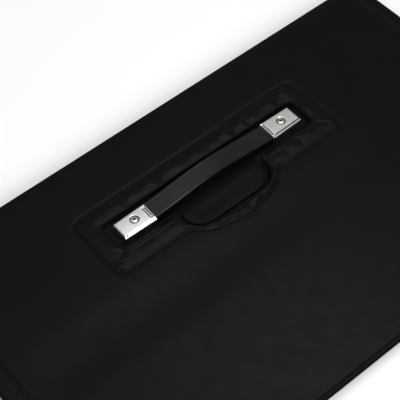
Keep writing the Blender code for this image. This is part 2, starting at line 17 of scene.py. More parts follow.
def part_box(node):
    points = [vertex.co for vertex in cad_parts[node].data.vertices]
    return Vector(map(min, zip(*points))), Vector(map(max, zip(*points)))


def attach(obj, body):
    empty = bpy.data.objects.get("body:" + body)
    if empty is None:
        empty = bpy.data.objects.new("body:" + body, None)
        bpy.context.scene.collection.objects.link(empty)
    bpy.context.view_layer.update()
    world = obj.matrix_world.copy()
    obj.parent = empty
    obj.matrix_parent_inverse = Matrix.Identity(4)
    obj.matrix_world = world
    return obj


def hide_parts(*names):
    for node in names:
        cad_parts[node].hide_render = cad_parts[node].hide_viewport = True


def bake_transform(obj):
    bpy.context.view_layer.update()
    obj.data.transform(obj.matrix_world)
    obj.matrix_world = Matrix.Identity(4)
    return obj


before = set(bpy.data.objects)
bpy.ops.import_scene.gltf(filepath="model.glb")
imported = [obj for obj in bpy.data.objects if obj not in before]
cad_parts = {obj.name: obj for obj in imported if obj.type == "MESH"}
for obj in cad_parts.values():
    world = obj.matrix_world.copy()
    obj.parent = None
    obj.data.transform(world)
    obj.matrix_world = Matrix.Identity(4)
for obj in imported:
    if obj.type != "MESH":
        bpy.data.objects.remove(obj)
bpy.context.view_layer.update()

MM = 0.001
NO_POINTS = np.zeros((0, 2))
SQUARE = ((-1, -1), (1, -1), (1, 1), (-1, 1))

# Places taken from the frame
SKIN_LOW, SKIN_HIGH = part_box("skin_upper")
SPINE_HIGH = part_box("spine_skin")[1]
TRAY_LOW, TRAY_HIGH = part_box("recess_tray")
STRAP_LOW, STRAP_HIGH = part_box("strap_cover")
LID_LOW, LID_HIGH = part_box("junction_lid")
PROUD_END, PROUD_SPINE = 2.1 * MM, 1.5 * MM
X_END = SKIN_HIGH.x + PROUD_END
Y_NEAR = SKIN_LOW.y
Y_SPINE = SPINE_HIGH.y + PROUD_SPINE
TOP = SKIN_HIGH.z
HALF_THICKNESS = SKIN_HIGH.z - SKIN_LOW.z
HANDLE_Y = (STRAP_LOW.y + STRAP_HIGH.y) / 2

# Sizes shared with the part's source
SKIN = 0.9 * MM
EDGE_RADIUS = 1.7 * MM
CORNER_RADIUS = 5 * MM
SIDE_BORDER = 12 * MM
LONG_BORDER = 8 * MM
OVERHANG = 1.5 * MM
TRAY_WALL = 0.8 * MM
RECESS_DEPTH = 5.4 * MM
RELIEF_RADIUS = 22 * MM
OPENING_CORNER = 2.5 * MM
PLINTH_DEPTH = 2.6 * MM
GAP = 0.3 * MM


# Outlines, as arrays of (x, y)

def arc(x, y, radius, start, end, steps=8):
    angles = np.radians(np.linspace(start, end, steps + 1))
    return np.stack([x + radius * np.cos(angles), y + radius * np.sin(angles)], 1)


def rounded_rectangle(x0, x1, y0, y1, radius, steps=8):
    x0, x1, y0, y1 = x0 + radius, x1 - radius, y0 + radius, y1 - radius
    corners = ((x0, y0, 180), (x1, y0, 270), (x1, y1, 0), (x0, y1, 90))
    return np.concatenate([arc(x, y, radius, turn, turn + 90, steps) for x, y, turn in corners])


def resample(ring, step, closed=True):
    """The same line with points at equal steps along it."""
    line = np.concatenate([ring, ring[:1]]) if closed else ring
    lengths = np.hypot(*np.diff(line, axis=0).T)
    along = np.concatenate([[0], np.cumsum(lengths)])
    count = max(2, round(along[-1] / step))
    places = np.linspace(0, along[-1], count + 1)
    if closed:
        places = places[:-1]
    return np.stack([np.interp(places, along, line[:, i]) for i in (0, 1)], 1)


def soften(ring, passes):
    """Rounds the corners of an evenly spaced closed line."""
    for _ in range(passes):
        ring = (np.roll(ring, 1, 0) + 2 * ring + np.roll(ring, -1, 0)) / 4
    return ring


def lattice(xs, ys):
    """Every pairing of the x and y values, as points."""
    return np.stack(np.meshgrid(xs, ys), -1).reshape(-1, 2)


def lattice_over(ring, step, margin=0):
    """Points at equal steps over the box of a line."""
    (x0, y0), (x1, y1) = ring.min(0) - margin, ring.max(0) + margin
    return lattice(np.arange(x0, x1, step), np.arange(y0, y1, step))


def raised(points, heights):
    """The points as (x, y, z), all at one height or each at its own."""
    return np.column_stack([points, np.broadcast_to(heights, len(points))])


def grown(ring, distance):
    """A counter-clockwise closed line moved outwards."""
    along = np.roll(ring, -1, 0) - np.roll(ring, 1, 0)
    along /= np.maximum(np.hypot(*along.T), 1e-12)[:, None]
    return ring + distance * np.stack([along[:, 1], -along[:, 0]], 1)


def distance(points, ring, closed=True):
    """Distance of each point to a line."""
    ends = np.roll(ring, -1, 0) if closed else ring[1:]
    starts = ring if closed else ring[:-1]
    best = np.full(len(points), np.inf)
    for a, b in zip(starts, ends):
        step = b - a
        share = np.clip((points - a) @ step / max(step @ step, 1e-18), 0, 1)
        best = np.minimum(best, np.hypot(*(points - a - share[:, None] * step).T))
    return best


def inside(points, ring):
    x, y = points.T
    within = np.zeros(len(points), bool)
    for (x0, y0), (x1, y1) in zip(ring, np.roll(ring, -1, 0)):
        if y0 == y1:
            continue
        crosses = (y0 > y) != (y1 > y)
        within ^= crosses & (x < (x1 - x0) * (y - y0) / (y1 - y0) + x0)
    return within


def signed(points, ring):
    """Distance of each point to a closed line, negative inside it."""
    return np.where(inside(points, ring), -1, 1) * distance(points, ring)


def pocket_outline(x0, x1, y0, y1, relief, corner, radius):
    """A rounded rectangle with a round-cornered finger relief on its near side."""
    left, right, bottom = relief
    return np.concatenate([
        arc(x0 + corner, y0 + corner, corner, 180, 270),
        [(left, y0)],
        arc(left + radius, bottom + radius, radius, 180, 270, 16),
        arc(right - radius, bottom + radius, radius, 270, 360, 16),
        [(right, y0)],
        arc(x1 - corner, y0 + corner, corner, 270, 360),
        arc(x1 - corner, y1 - corner, corner, 0, 90),
        arc(x0 + corner, y1 - corner, corner, 90, 180),
    ])


# The opening of the recess, and the groove pressed into the skin round its padding
TRAY_REACH = OVERHANG + TRAY_WALL
OPEN_X = (TRAY_LOW.x + TRAY_REACH, TRAY_HIGH.x - TRAY_REACH)
OPEN_Y = (HANDLE_Y - 17 * MM, TRAY_HIGH.y - TRAY_REACH)
RELIEF = (-54.5 * MM, 47 * MM, TRAY_LOW.y + TRAY_REACH)
RING_STEP = 1.5 * MM
OPENING = pocket_outline(*OPEN_X, *OPEN_Y, RELIEF, OPENING_CORNER, RELIEF_RADIUS)
OPENING = soften(resample(OPENING, RING_STEP), 3)
STRIP_LEFT, STRIP_RIGHT, STRIP_FAR, STRIP_NEAR = 20 * MM, 19.5 * MM, 20.5 * MM, 22.5 * MM
# The near side of the groove runs to a blunt point below the finger relief
POINT_LINE = (
    (-59, 33), (-53, 28.5), (-46, 22.5), (-37, 17.5), (-22, 14.5), (-11, 11),
    (0, 7), (9, 12), (19, 15.5), (31, 17.5), (41, 21), (48, 27.5), (54, 32.5),
)


def groove_outline():
    """Outline of the groove: a rounded rectangle that runs to a point below the finger relief."""
    x0, x1 = OPEN_X[0] - STRIP_LEFT, OPEN_X[1] + STRIP_RIGHT
    y0, y1 = OPEN_Y[0] - STRIP_NEAR, OPEN_Y[1] + STRIP_FAR
    corner = 10 * MM
    line = np.concatenate([
        arc(x0 + corner, y0 + corner, corner, 180, 270),
        np.array(POINT_LINE) * MM,
        arc(x1 - corner / 2, y0 + corner / 2, corner / 2, 270, 360),
        arc(x1 - corner, y1 + 2 * MM - corner, corner, 0, 90),
        [(RELIEF[1] + 4 * MM, y1 + 2 * MM), (RELIEF[1] - 4 * MM, y1)],
        arc(x0 + corner, y1 - corner, corner, 90, 180),
    ])
    return soften(resample(line, RING_STEP), 3)


GROOVE = groove_outline()


# Meshes

def smoothed(mesh, angle):
    mesh.shade_smooth()
    mesh.set_sharp_from_angle(angle=radians(angle))


def linked(name, data):
    thing = bpy.data.objects.new(name, data)
    bpy.context.collection.objects.link(thing)
    return thing


def finished(name, shape, material, body=None, smooth_angle=40, up=None):
    """A piece made of welded faces. Where up is given, most of its area looks that way."""
    mesh = mesh_from(shape, name, up)
    smoothed(mesh, smooth_angle)
    mesh.materials.append(material)
    piece = linked(name, mesh)
    if body:
        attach(piece, body)
    return piece


def with_modifier(piece, smooth_angle, kind, **values):
    """Adds a modifier to a piece and applies it."""
    modifier = piece.modifiers.new(kind.lower(), kind)
    for key, value in values.items():
        setattr(modifier, key, value)
    graph = bpy.context.evaluated_depsgraph_get()
    piece.data = bpy.data.meshes.new_from_object(piece.evaluated_get(graph))
    piece.modifiers.clear()
    smoothed(piece.data, smooth_angle)


def thickened(piece, thickness, smooth_angle=50):
    with_modifier(piece, smooth_angle, "SOLIDIFY", thickness=thickness, offset=-1)


def face_centres(piece):
    return np.array([tuple(face.center) for face in piece.data.polygons])


def painted(piece, indices, *materials):
    """Adds materials to a piece and sets the material of each face."""
    for material in materials:
        piece.data.materials.append(material)
    for face, index in zip(piece.data.polygons, indices):
        face.material_index = int(index)


def thinned(candidates, fixed, spacing):
    """The candidates that keep their distance from the fixed points and from one another."""
    taken = {}
    for x, y in fixed:
        taken.setdefault((int(x // spacing), int(y // spacing)), []).append((x, y))
    kept = []
    for x, y in candidates:
        i, j = int(x // spacing), int(y // spacing)
        near = (q for di in (-1, 0, 1) for dj in (-1, 0, 1) for q in taken.get((i + di, j + dj), ()))
        if all((x - qx) ** 2 + (y - qy) ** 2 >= spacing ** 2 for qx, qy in near):
            kept.append((x, y))
            taken.setdefault((i, j), []).append((x, y))
    return np.array(kept).reshape(-1, 2)


def patch(outer, holes, loose):
    """Triangles over the area inside the outer line and outside the holes. Returns points and triangles."""
    rings = [outer, *holes]
    points = np.concatenate([*rings, loose])
    edges, start = [], 0
    for ring in rings:
        count = len(ring)
        edges += [(start + i, start + (i + 1) % count) for i in range(count)]
        start += count
    found = delaunay_2d_cdt([Vector(p) for p in points], edges, [], 0, 1e-8, False)
    places = np.array([tuple(p) for p in found[0]])
    faces = np.array([f for f in found[2] if len(f) == 3])
    middles = places[faces].mean(1)
    keep = inside(middles, outer)
    for hole in holes:
        keep &= ~inside(middles, hole)
    return places, faces[keep]


def add_faces(shape, places, faces):
    verts = [shape.verts.new(p) for p in places]
    for face in faces:
        shape.faces.new([verts[i] for i in face])


def add_grid(shape, rows, closed=False, keep=None):
    """Quads between rows of points of equal length, apart from those that keep turns down."""
    rows = [[shape.verts.new(p) for p in row] for row in rows]
    count = len(rows[0])
    for level, (low, high) in enumerate(zip(rows, rows[1:])):
        for i in range(count if closed else count - 1):
            j = (i + 1) % count
            if keep is None or keep(level, (low[i].co + low[j].co) / 2):
                shape.faces.new((low[i], low[j], high[j], high[i]))


def add_loft(shape, rows):
    """A solid through closed rows of points, with flat ends."""
    add_grid(shape, rows, closed=True)
    for row in (rows[0][::-1], rows[-1]):
        shape.faces.new([shape.verts.new(p) for p in row])


def add_turned(shape, profile, place, segments):
    """A turned solid, whose profile starts and ends on the axis. Calls place(radius, height, angle)."""
    angles = np.linspace(0, 2 * pi, segments, endpoint=False)
    rows = [[place(radius, height, a) for a in angles] for radius, height in profile[1:-1]]
    add_grid(shape, rows, closed=True)
    for end, row in ((profile[0], rows[0]), (profile[-1], rows[-1])):
        tip = shape.verts.new(place(*end, 0))
        ring = [shape.verts.new(p) for p in row]
        for i in range(segments):
            shape.faces.new((tip, ring[i], ring[(i + 1) % segments]))


def mesh_from(shape, name, up=None):
    """Welds the faces to one surface."""
    bmesh.ops.remove_doubles(shape, verts=shape.verts, dist=2e-6)
    bmesh.ops.recalc_face_normals(shape, faces=shape.faces)
    if up is not None and up * sum(face.normal.z * face.calc_area() for face in shape.faces) < 0:
        bmesh.ops.reverse_faces(shape, faces=shape.faces)
    mesh = bpy.data.meshes.new(name)
    shape.to_mesh(mesh)
    shape.free()
    return mesh


def ramp(value, low, high):
    share = np.clip((value - low) / (high - low), 0, 1)
    return share * share * (3 - 2 * share)


def hump(value, centre, half_width):
    share = np.clip(np.abs(value - centre) / half_width, 0, 1)
    return 0.5 * (1 + np.cos(pi * share))


# Relief of the covers, in millimetres: heights above the flat face, and places
CROWN = 1.2
FLANGE = 0.2
HEM_AT = 12.6
VALLEY_Y = -12
VALLEY_HALF = 40
VALLEY_DEPTH = 1.6
GROOVE_DEPTH = 1.0
PAD_RISE = 1.3
LIP_ROUND = 1.4
LIP_CREST = 5.4
# Puckers of the padding: middle, half length, half width, turn in degrees, height
PUCKERS = (
    (-96, 98, 11, 5.5, -20, 1.0), (-75, 98, 12, 6, 4, 0.9), (-54, 98, 12, 7, 6, 1.5),
    (-26, 98, 13, 5, 0, 0.9), (0, 98, 12, 5.5, 0, 0.4), (22, 98, 9, 5, 0, 0.5), (38, 99, 7, 6, 0, 1.5),
    (58, 98, 8, 5.5, 0, 0.9), (74, 97, 9, 5, 4, 0.9), (96, 99, 12, 6, 4, 1.2), (118, 102, 10, 6, 8, 1.4),
    (-130, 41, 9, 5, -35, 1.3), (-121, 60, 12, 4.5, -48, 1.5), (-98, 42, 12, 5, 4, 1.2),
    (-68, 43, 10, 4.5, 0, 0.8), (-38, 24, 11, 4.5, -24, 1.6), (-17, 17.5, 12, 4.5, -14, 1.5),
    (-2, 13, 7, 6, -60, 1.3), (12, 19, 10, 4.5, 22, 1.3), (31, 22, 12, 4, 14, 1.2),
    (46, 29, 9, 4.5, 52, 0.5), (62, 41, 10, 4.5, 0, 0.7), (79, 44, 10, 5, -6, 1.2),
    (100, 45, 12, 5, 4, 1.2), (130, 43, 9, 5, 18, 1.4), (120, 73, 5, 14, 0, 1.0),
    (-129, 78, 5, 16, 0, 0.5),
)
# Pleats of the padding: one end, the other end, half width, depth
PLEATS = (
    (-44.5, 92, -40.5, 107, 3.6, 1.3), (47.5, 92, 47, 108, 3.4, 1.7), (-86, 92, -84, 102, 3.5, 0.9),
    (17, 92, 18, 101, 3.5, 0.6), (66, 92, 65, 101, 3.5, 0.7), (104, 94, 106, 104, 3.5, 0.7),
    (112, 53, 126, 42, 3.8, 0.5), (-115, 54, -126, 49, 2.4, 0.9), (88, 38, 90, 46, 3.0, 0.7),
    (2, 24, 0, 12, 2.2, 0.7), (-28, 25, -30, 18, 2.4, 0.6),
)


def edge_distances(x, y):
    """Distances to the nearer end, the near edge and the spine."""
    return X_END / MM - np.abs(x), y - Y_NEAR / MM, Y_SPINE / MM - y


def hem_dip(side, near, far):
    """Line of the hem under the face, from 0 to 1."""
    return hump(side, HEM_AT, 1.8) * ramp(far, 3, 9) * ramp(near, 3, 9)


def crown(x, y):
    """Soft swell of the face between its hems, with the valley that runs along it."""
    side, near, far = edge_distances(x, y)
    rise = ramp(side, 13, 20) * np.clip(near / 150, 0, 1) * ramp(far, 0.5, 10)
    height = FLANGE + (CROWN - FLANGE) * rise
    height -= (0.1 + 0.45 * ramp(x, -X_END / MM / 2, X_END / MM / 2)) * hem_dip(side, near, far)
    fade = (0.3 + 0.7 * ramp(-x, -140, 200)) * ramp(side, 20, 50)
    height -= VALLEY_DEPTH * fade * hump(y, VALLEY_Y, VALLEY_HALF)
    waves = np.sin(x / 31 + 1.3 * np.sin(y / 47)) * np.sin(y / 38 + 0.7)
    return height + 0.05 * waves * rise


def upper_relief(points):
    """Crown of the face, padding with its puckers and pleats, groove round it, and lip of the opening."""
    x, y = points.T / MM
    groove = signed(points, GROOVE) / MM
    opening = np.maximum(signed(points, OPENING) / MM, 0)
    height = crown(x, y)
    within = groove < 0
    share = np.where(within, opening / np.maximum(opening - groove, 1e-6), 0)
    pad = np.where(within, np.sin(pi * np.clip(share, 0, 1) ** 0.85), 0)
    rise = PAD_RISE * pad
    held = pad ** 0.5
    for px, py, half_x, half_y, turn, high in PUCKERS:
        c, s = cos(radians(turn)), sin(radians(turn))
        along = (x - px) * c + (y - py) * s
        across = (y - py) * c - (x - px) * s
        rise += high * held * hump(along, 0, half_x) * hump(across, 0, half_y)
    for x0, y0, x1, y1, half, deep in PLEATS:
        crease = np.array([(x0, y0), (x1, y1)])
        rise -= deep * held * hump(distance(points / MM, crease, closed=False), 0, half)
    fine = np.sin(x / 2.3 + 2 * np.sin(y / 5)) * np.sin(x / 9 + y / 13)
    height += np.where(within, rise + 0.06 * fine * pad, 0)
    depth = GROOVE_DEPTH * (1 - 0.6 * ramp(x, 110, 128) * ramp(y, 50, 70))
    depth *= 1 - 0.4 * hump(x, 0, 70) * ramp(-y, -40, -30)
    depth *= 0.65 + 0.3 * ramp(y, 90, 100)
    depth *= 1 - 0.85 * hump(x, 52, 22) * hump(y, 30, 20)
    height -= depth * np.exp(-((groove / 1.15) ** 2))
    height -= 0.25 * np.exp(-np.maximum(groove, 0) / 5) * ramp(-y, -45, -30)
    straight = (ramp(-x, 55, 66) + ramp(x, 49, 60)) * ramp(OPEN_Y[0] / MM - y, 0, 0.5)
    near_lip = within * straight * ramp(-np.abs(x), -118, -108)
    height += near_lip * 0.9 * hump(opening, LIP_CREST, 2.4)
    height -= near_lip * 1.3 * np.clip(1 - opening / LIP_CREST, 0, 1) ** 1.5
    lip = np.clip(1 - opening / LIP_ROUND, 0, 1)
    return (height - 0.9 * lip ** 2 * within) * MM


def lower_relief(points):
    """The lower cover stands on its face, so only its hems dip."""
    return -0.4 * MM * hem_dip(*edge_distances(*points.T / MM))


# Covers
FACE_END_Y = Y_SPINE - EDGE_RADIUS
# The covers bend at the creases, and past them each runs down its share of the spine
# Share of the way down to the middle of the spine, and how far it has sunk back to the level of the CAD
SPINE_PROFILE = ((0.08, 0.25), (0.18, 0.8), (0.28, 1), (0.6, 1), (1, 1))


def stations(low, high, step):
    return np.linspace(low, high, max(2, round((high - low) / step)) + 1)


def hem_outline(side_inset, near_inset, radius, step):
    """The left, near and right edges of a half, from the spine round to the spine again."""
    x, y = X_END - side_inset, Y_NEAR + near_inset
    radius = max(radius, 0.4 * MM)
    ends = CORNER_RADIUS + 2 * MM
    sides = stations(Y_NEAR + ends, FACE_END_Y, step)
    left, right = lattice([-x], sides)[::-1], lattice([x], sides)
    near = lattice(stations(-X_END + ends, X_END - ends, step), [y])
    corners = [arc(v, y + radius, radius, a, a + 90, 6) for v, a in ((-x + radius, 180), (x - radius, 270))]
    return np.concatenate([left, corners[0], near, corners[1], right])


def border_lines(low, high, step, fine_step, fine_low, fine_high):
    """Places for grid lines: close together near both ends, further apart between them."""
    start = np.arange(low, low + fine_low, step)
    fine = np.arange(low + fine_low, low + fine_high, fine_step)
    middle = stations(low + fine_high, high - fine_high, step)
    half = np.concatenate([start, fine])
    return np.concatenate([half, middle, (low + high) - half[::-1]])


def make_cover(name, face_z, up, relief, hole, fine_points, step):
    """Outer skin of one half: face, turned-down edges, border over the cells, and share of the spine."""
    shape = bmesh.new()
    edge = hem_outline(EDGE_RADIUS, EDGE_RADIUS, CORNER_RADIUS - EDGE_RADIUS, step)
    edge_height = relief(edge)
    far = lattice(stations(edge[0, 0], edge[-1, 0], step)[::-1], [FACE_END_Y])
    outer = np.concatenate([edge, far[1:-1]])
    lines_x = border_lines(-X_END, X_END, step, 0.9 * MM, 9 * MM, 21 * MM)
    lines_y = border_lines(Y_NEAR, Y_SPINE, step, 2 * MM, 3 * MM, 19 * MM)
    grid = lattice(lines_x, lines_y)
    grid = grid[signed(grid, outer) < -0.5 * MM]
    if len(fine_points):
        fine_points = thinned(fine_points, [], 0.45 * MM)
        clear = KDTree(len(fine_points))
        for i, p in enumerate(fine_points):
            clear.insert((*p, 0), i)
        clear.balance()
        grid = np.array([p for p in grid if clear.find((*p, 0))[2] > 1.2 * MM])
    loose = np.concatenate([grid, fine_points])
    loose = loose[distance(loose, hole) > 0.12 * MM]
    places, faces = patch(outer, [hole], loose)
    add_faces(shape, raised(places, face_z + up * relief(places)), faces)

    # Turned-down edges and the border folded over the cell face: inset, depth, and share of the relief
    foot, roll = HALF_THICKNESS, 1.1 * MM
    turns = np.linspace(0, pi / 2, 7)
    levels = [(EDGE_RADIUS * (1 - sin(a)), EDGE_RADIUS * (1 - cos(a)), 1 - 2 * a / pi) for a in turns]
    rounding = len(levels)
    levels += [(-0.12 * MM, 0.55 * foot, 0), (0, foot - roll, 0), (0.3 * roll, foot - 0.3 * roll, 0)]
    levels += [(roll, foot, 0), (2.5 * roll, foot, 0)]
    rows = []
    for inset, depth, lift in levels:
        line = hem_outline(inset, inset, CORNER_RADIUS - inset, step)
        rows.append(raised(line, face_z - up * (depth - edge_height * lift)))
    for share in (0.5, 0.97, 1):
        side, near = (roll + (border - roll) * share for border in (SIDE_BORDER, LONG_BORDER))
        line = hem_outline(side, near, 2 * MM, step)
        rows.append(raised(line, face_z - up * (foot - (0.25 * MM if share == 1 else 0))))
    add_grid(shape, rows)

    # Share of the spine: over the edge and down to the middle of the thickness
    first, last = ([row[i] for row in rows[:rounding]] for i in (0, -1))
    between = raised(far, face_z + up * relief(far))[::-1][1:-1]
    strip = np.array([*first[::-1], *between, *last])
    spine_rows = [strip]
    for a in np.radians(np.linspace(15, 90, 6)):
        spine_rows.append(strip + (0, 0, -up * EDGE_RADIUS * (1 - cos(a))))
        spine_rows[-1][:, 1] = FACE_END_Y + EDGE_RADIUS * sin(a)
    middle_z = face_z - up * TOP / 2
    for share, sunk in SPINE_PROFILE:
        row = spine_rows[6].copy()
        row[:, 1] = Y_SPINE - sunk * (PROUD_SPINE + 0.05 * MM)
        row[:, 2] += (middle_z - row[:, 2]) * share
        spine_rows.append(row)
    add_grid(shape, spine_rows)

    piece = finished(name, shape, LEATHERETTE)
    if max(piece.data.polygons, key=lambda f: f.center.z * up).normal.z * up < 0:
        piece.data.flip_normals()
    thickened(piece, SKIN * 0.85)
    x, y, _ = face_centres(piece).T
    to_edge = np.minimum(X_END - np.abs(x), np.minimum(y - Y_NEAR, Y_SPINE - y))
    # Upright faces at the outer edges take the low-sheen copy: painted shade
    upright = [abs(face.normal.z) < 0.6 for face in piece.data.polygons]
    painted(piece, (to_edge < 0.4 * EDGE_RADIUS) & upright, EDGE_SKIN_PAINTED_SHADE)
    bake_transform(piece)
    return piece


def opening_points():
    """Points round the opening and the groove, close enough together for their relief."""
    rings = [grown(OPENING, d * MM) for d in (0.35, 0.8, 1.4, 2.2, 3.3)]
    rings += [grown(GROOVE, d * MM) for d in (0, -0.6, 0.6, -1.2, 1.2, -2, 2, -3.2, 3.2)]
    grid = lattice_over(GROOVE, 1.9 * MM, 7 * MM)
    off = signed(grid, GROOVE)
    grid = grid[(np.abs(off) > 3.6 * MM) & (off < 7 * MM) & (signed(grid, OPENING) > 3.8 * MM)]
    points = np.concatenate([*rings, grid])
    return points[signed(points, OPENING) > 0.2 * MM]


# Materials

class Nodes:
    """Builds the node tree of one material on its Principled shader."""

    def __init__(self, name):
        self.material = bpy.data.materials.new(name)
        self.material.use_nodes = True
        self.tree = self.material.node_tree
        self.shader = self.tree.nodes["Principled BSDF"]
        self.place = self.add("ShaderNodeTexCoord").outputs["Object"]

    def add(self, kind, inputs=(), **values):
        """A node with its settings and its inputs, each a number, a colour or another node's output."""
        node = self.tree.nodes.new(kind)
        for key, value in values.items():
            setattr(node, key, value)
        for key, value in dict(inputs).items():
            self.fill(node.inputs[key], value)
        return node

    def fill(self, socket, value):
        if isinstance(value, bpy.types.NodeSocket):
            self.tree.links.new(value, socket)
        else:
            socket.default_value = (*value, 1) if socket.type == "RGBA" else value

    def stretched(self, stretch):
        inputs = {"Vector": self.place, "Scale": stretch}
        return self.add("ShaderNodeMapping", inputs).outputs["Vector"]

    def noise(self, scale, detail=3.0, stretch=(1, 1, 1)):
        inputs = {"Vector": self.stretched(stretch), "Scale": scale, "Detail": detail, "Roughness": 0.55}
        return self.add("ShaderNodeTexNoise", inputs).outputs["Fac"]

    def cells(self, scale):
        inputs = {"Vector": self.stretched((1, 1, 1)), "Scale": scale}
        return self.add("ShaderNodeTexVoronoi", inputs).outputs["Distance"]

    def math(self, operation, *values):
        return self.add("ShaderNodeMath", enumerate(values), operation=operation).outputs[0]

    def spread(self, noise, low, high):
        """Turns the usable part of a noise, 0.3 to 0.7, into values from low to high."""
        return self.add("ShaderNodeMapRange", enumerate((noise, 0.3, 0.7, low, high))).outputs[0]

    def mix(self, factor, a, b):
        return self.add("ShaderNodeMix", {0: factor, 6: a, 7: b}, data_type="RGBA").outputs[2]

    def bump(self, height, distance):
        inputs = {"Strength": 1.0, "Distance": distance, "Height": height}
        return self.add("ShaderNodeBump", inputs).outputs["Normal"]

    def done(self, **values):
        for key, value in values.items():
            self.fill(self.shader.inputs[key.replace("_", " ")], value)
        return self.material


def grey(level):
    return (level, level, level)


def leatherette(name, dark, light, rough, specular):
    """Fine pebble grain with faint cloudy colour."""
    n = Nodes(name)
    height = n.math("ADD", n.math("MULTIPLY", n.cells(1500), 0.6), n.math("MULTIPLY", n.noise(420, 5), 0.5))
    return n.done(
        Base_Color=n.mix(n.spread(n.noise(28, 3), 0, 1), dark, light),
        Roughness=n.spread(n.noise(90, 4), *rough),
        Normal=n.bump(height, 0.05 * MM),
        Specular_IOR_Level=specular,
    )


def mottled(name, dark, light, rough, scale, grain=0.0, grain_scale=900, metallic=0.0, specular=0.5, **more):
    """A moulded or rolled surface: faint variation of colour and roughness, and a fine texture."""
    n = Nodes(name)
    if grain:
        more["Normal"] = n.bump(n.noise(grain_scale, 4), grain * MM)
    return n.done(
        Base_Color=n.mix(n.spread(n.noise(scale, 4), 0, 1), dark, light),
        Roughness=n.spread(n.noise(scale * 2.5, 3), *rough),
        Metallic=metallic,
        Specular_IOR_Level=specular,
        **more,
    )


def brushed(name, dark, light, rough, stretch=(1, 40, 1), grain=0.006):
    """Metal with fine lines drawn along it."""
    n = Nodes(name)
    lines = n.noise(500, 3, stretch)
    return n.done(
        Base_Color=n.mix(n.spread(n.noise(60, 3), 0, 1), dark, light),
        Roughness=n.spread(lines, *rough),
        Metallic=1.0,
        Normal=n.bump(lines, grain * MM),
    )


def strap_material():
    """Vinyl with a fine grain and a slightly mottled surface."""
    n = Nodes("strap_vinyl_ribbed")
    return n.done(
        Base_Color=n.mix(n.spread(n.noise(45, 4), 0, 1), (0.0040, 0.0040, 0.0036), (0.0058, 0.0058, 0.0053)),
        Roughness=n.spread(n.noise(160, 3), 0.2, 0.27),
        Normal=n.bump(n.noise(1300, 3), 0.03 * MM),
        Specular_IOR_Level=0.24,
    )


LEATHERETTE = leatherette("cover_leatherette", grey(0.0018), grey(0.0025), (0.33, 0.41), 0.064)
# Copy of the leatherette with little sheen for the upright edge walls, so they look darker: painted shade
EDGE_SKIN_PAINTED_SHADE = leatherette("cover_edge_leatherette_painted_shade", grey(0.0024), grey(0.0034), (0.6, 0.7), 0.015)
# Lighter copy of the leatherette that brightens the shaded recess floor under the strap: painted light
LINER_PAINTED_LIGHT_TONES = (0.003, 0.003, 0.0029), (0.0041, 0.0041, 0.0039)
LINER_PAINTED_LIGHT = leatherette("recess_liner_skin_painted_light", *LINER_PAINTED_LIGHT_TONES, (0.44, 0.54), 0.055)
# Near-black for the channel along the recess wall: painted shade
MOAT_PAINTED_SHADE = mottled("recess_moat_painted_shade", grey(0.0008), grey(0.0012), (0.8, 0.9), 200, 0.05, specular=0.02)
STRAP_VINYL = strap_material()
METAL = {"grain": 0.002, "metallic": 1.0}
CHROME = brushed("cap_satin_chrome", (0.62, 0.612, 0.592), (0.68, 0.672, 0.65), (0.2, 0.3), (1, 30, 1), 0.004)
# Darker metal in the caps' grooves and dimples and in the screws' cross recesses: painted shade and dark
# reflection
CREASE_PAINTED_SHADE = mottled("cap_crease_painted_shade", (0.07, 0.07, 0.068), (0.11, 0.11, 0.107), (0.3, 0.42), 300, **METAL)
# Mid-dark metal in the mouth of the right cap: a painted dark reflection
MOUTH_PAINTED_SHADE = mottled("cap_mouth_painted_reflection", (0.2, 0.2, 0.195), (0.28, 0.28, 0.272), (0.3, 0.42), 300, **METAL)
SCREW = mottled("screw_chrome", (0.62, 0.62, 0.61), (0.7, 0.7, 0.69), (0.14, 0.22), 200, **METAL)
STEEL = brushed("spring_steel_brushed", (0.36, 0.37, 0.38), (0.46, 0.47, 0.48), (0.3, 0.45))
FOAM = mottled("pad_foam_open", grey(0.05), grey(0.09), (0.9, 1.0), 300, 0.3, 1200, specular=0.2)
RUBBER = mottled("grommet_rubber_matt", grey(0.010), grey(0.015), (0.75, 0.9), 300, 0.05)

COVER_UPPER = make_cover("cover_upper", TOP, 1, upper_relief, OPENING, opening_points(), 4 * MM)
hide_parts("skin_upper")

LID_CORNER = 3 * MM
LID_BOX = (LID_LOW.x - GAP, LID_HIGH.x + GAP, LID_LOW.y - GAP, LID_HIGH.y + GAP)
LID_HOLE = resample(rounded_rectangle(*LID_BOX, LID_CORNER + GAP), 2 * MM)
COVER_LOWER = make_cover("cover_lower", 0, -1, lower_relief, LID_HOLE, NO_POINTS, 7 * MM)
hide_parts("skin_lower", "spine_skin")


# Recess liner

# Width of the channel round the finger relief's cushion, and how deep the cushion lies, in mm
MOAT = 2.9
CUSHION_DEPTH = 1.9
HANDS = {"left": -1, "right": 1}
# Half length and half width of the plinth under each cap
PLINTH = (16.5 * MM, 9.5 * MM)


